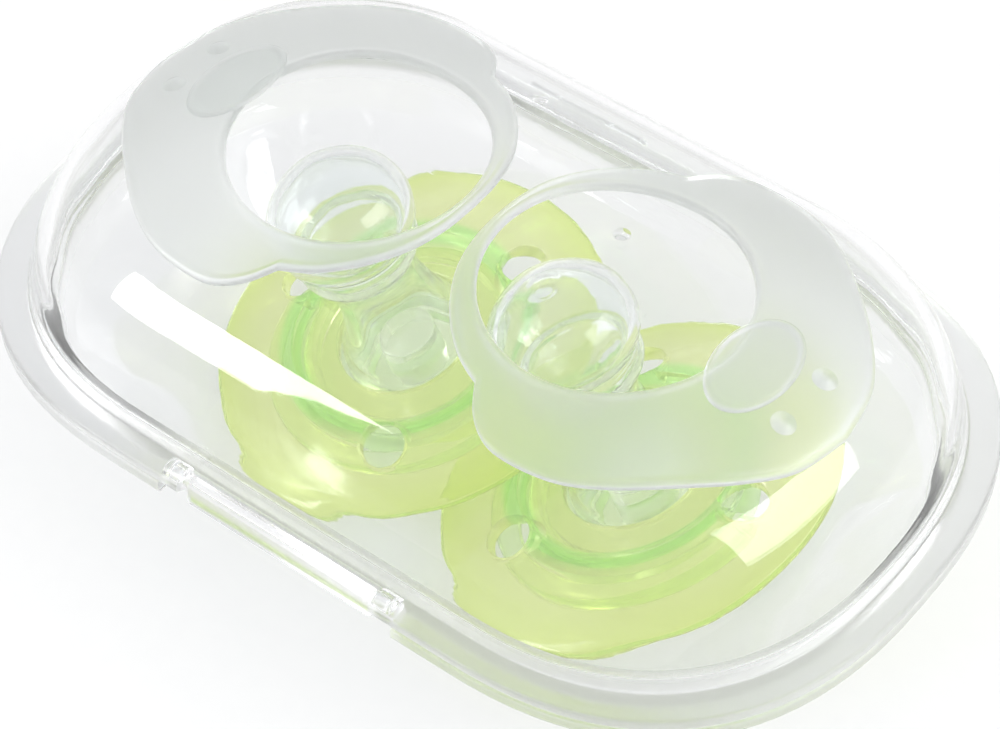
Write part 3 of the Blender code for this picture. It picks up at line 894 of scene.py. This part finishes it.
def build_handle(name):
    """Half ring round the front of the hub, thinning into a stub at each end."""
    path = [(-11.1, 0.0), (-11.4, 0.0), (-12.55, 0.0), (-12.9, 0.0)]
    steps = 72
    for k in range(steps + 1):
        t = math.pi + math.pi * k / steps
        path.append((HANDLE_R * math.cos(t), HANDLE_R * math.sin(t) * HANDLE_OVAL))
    path += [(12.9, 0.0), (12.55, 0.0), (11.4, 0.0), (11.1, 0.0)]
    last = len(path) - 1
    rings = []
    for i, point in enumerate(path):
        ahead = np.array(path[min(i + 1, last)]) - np.array(path[max(i - 1, 0)])
        ahead = ahead / np.linalg.norm(ahead)
        side = np.array((ahead[1], -ahead[0]))
        from_end = min(i, last - i)
        radius = HANDLE_BAR
        if from_end < 4:
            radius = (STUB_R - 0.2, STUB_R, STUB_R, HANDLE_BAR * 0.9)[from_end]
        tall = radius if from_end < 3 else radius * 0.92
        ring = []
        for k in range(24):
            t = 2 * math.pi * k / 24
            across = side * radius * math.cos(t)
            ring.append((point[0] + across[0], point[1] + across[1], HANDLE_W + tall * math.sin(t)))
        rings.append(ring)
    return mesh_object(name, *skin(rings))


def place_pacifier(label, paints):
    centre, lean, turn = PACIFIERS[label]
    axis = Vector((lean[0], lean[1], 1.0)).normalized()
    across = Vector((1, 0, 0)) - axis * axis.x
    across.normalize()
    pose = Matrix((across, axis.cross(across), axis)).transposed().to_4x4()
    pose.translation = Vector(centre) * MM
    made = (
        (build_shield("shield_disc_" + label, turn), "shield", "base", "shield_", "shield_green"),
        (build_teat("teat_bulb_" + label), "teat", "base", "teat_", "silicone"),
        (build_hub("hub_button_" + label), "hub", "base", "hub_", "hub_green"),
        (build_handle("ring_handle_" + label), "handle", "ring_" + label, "handle_", "handle_green"),
    )
    for obj, paint, body, node, slot in made:
        reach = obj.data.attributes.new("reach", "FLOAT", "POINT")
        reach.data.foreach_set("value", [math.hypot(v.co.x, v.co.y) / MM for v in obj.data.vertices])
        obj.data.transform(pose)
        finish_piece(obj, paints[paint], body, [node + label])


# ---- stage -------------------------------------------------------------------------------------------
def build_floor(level):
    verts, faces = block((-2200, -2200, level - 20), (2200, 2200, level))
    floor = mesh_object("floor", verts, faces)
    floor.data.materials.append(floor_paint())


def build_world():
    """Soft white room that is a little brighter towards the horizon and below it."""
    world = bpy.data.worlds.new("studio")
    world.use_nodes = True
    tree = world.node_tree
    back = tree.nodes["Background"]
    coords = tree.nodes.new("ShaderNodeTexCoord")
    split = tree.nodes.new("ShaderNodeSeparateXYZ")
    ramp = tree.nodes.new("ShaderNodeMapRange")
    ramp.inputs["From Min"].default_value = -0.05
    ramp.inputs["From Max"].default_value = 0.75
    ramp.inputs["To Min"].default_value = 1.12
    ramp.inputs["To Max"].default_value = 1.0
    tree.links.new(coords.outputs["Generated"], split.inputs["Vector"])
    tree.links.new(split.outputs["Z"], ramp.inputs["Value"])
    tree.links.new(ramp.outputs["Result"], back.inputs["Color"])
    back.inputs["Strength"].default_value = 0.74
    bpy.context.scene.world = world


def softbox(name, angles, distance, size, radiance, roll):
    """Rectangular lamp that faces the case from an azimuth (0 is +X) and an elevation in degrees."""
    data = bpy.data.lights.new(name, "AREA")
    data.shape = "RECTANGLE"
    data.size, data.size_y = size
    data.energy = radiance * math.pi * size[0] * size[1]
    lamp = bpy.data.objects.new(name, data)
    bpy.context.scene.collection.objects.link(lamp)
    azimuth, elevation = (math.radians(a) for a in angles)
    way = Vector((math.cos(azimuth) * math.cos(elevation), math.sin(azimuth) * math.cos(elevation),
                  math.sin(elevation)))
    lamp.location = Vector((0, 0, SEAM_Z)) + way * distance
    lamp.rotation_mode = "QUATERNION"
    lamp.rotation_quaternion = way.to_track_quat("Z", "Y") @ Quaternion((0, 0, 1), math.radians(roll))


def build_camera():
    azimuth = math.radians(CAMERA_AZIMUTH)
    elevation = math.radians(CAMERA_ELEVATION)
    roll = math.radians(CAMERA_ROLL)
    back = Vector((math.sin(azimuth) * math.cos(elevation), -math.cos(azimuth) * math.cos(elevation),
                   math.sin(elevation)))
    right = Vector((math.cos(azimuth), math.sin(azimuth), 0))
    up = back.cross(right)
    rolled_right = right * math.cos(roll) - up * math.sin(roll)
    rolled_up = right * math.sin(roll) + up * math.cos(roll)
    data = bpy.data.cameras.new("camera")
    data.sensor_width = SENSOR
    data.lens = LENS
    data.shift_x = SHIFT_X
    data.clip_start = 0.01
    camera = bpy.data.objects.new("camera", data)
    bpy.context.scene.collection.objects.link(camera)
    turn = Matrix((rolled_right, rolled_up, back)).transposed().to_4x4()
    turn.translation = Vector((0, 0, SEAM_Z)) + (Vector(CAMERA_TARGET) + back * CAMERA_DISTANCE) * MM
    camera.matrix_world = turn
    bpy.context.scene.camera = camera


def set_light_paths():
    """Enough bounces for the stacked clear walls, and a plain tone curve."""
    scene = bpy.context.scene
    scene.view_settings.view_transform = "Standard"
    scene.cycles.max_bounces = 28
    scene.cycles.transmission_bounces = 28
    scene.cycles.glossy_bounces = 28
    scene.cycles.transparent_max_bounces = 40


def main():
    case_paint = clear_plastic("case_clear", (0.965, 0.968, 0.972), 0.02)
    frost = frosted_plastic()
    paints = {
        "shield": tinted_plastic("shield_green", (0.86, 0.91, 0.50), (0.80, 0.90, 0.34), 17.0, 22.4,
                                 0.80, 0.10, (0.96, 0.985, 0.85), (11.9, 13.6, (0.58, 0.90, 0.36))),
        "teat": silicone(),
        "hub": tinted_plastic("hub_green", (0.94, 0.985, 0.80), (0.74, 0.96, 0.56), 9.5, 12.0,
                              0.90, 0.12, (0.97, 0.99, 0.93)),
        "handle": tinted_plastic("handle_green", (0.93, 0.985, 0.82), (0.88, 0.975, 0.74), 10.0, 16.0,
                                 0.92, 0.10, (0.97, 0.99, 0.93)),
    }
    build_base(case_paint)
    build_lid(case_paint)
    build_pins(case_paint)
    build_latch(case_paint)
    for side, label in ((-1, "left"), (1, "right")):
        build_panel(side, label, frost)
        place_pacifier(label, paints)
    build_details(frost, case_paint)
    build_floor(cad_box[0].z / MM)
    build_world()
    softbox("key_front_left", (-132.1, 29.8), 0.9, (0.277, 0.38), 9.0, 15.6)
    softbox("key_right", (16.1, 39.9), 0.9, (0.50, 0.70), 4.5, 78.9)
    build_camera()
    set_light_paths()


main()
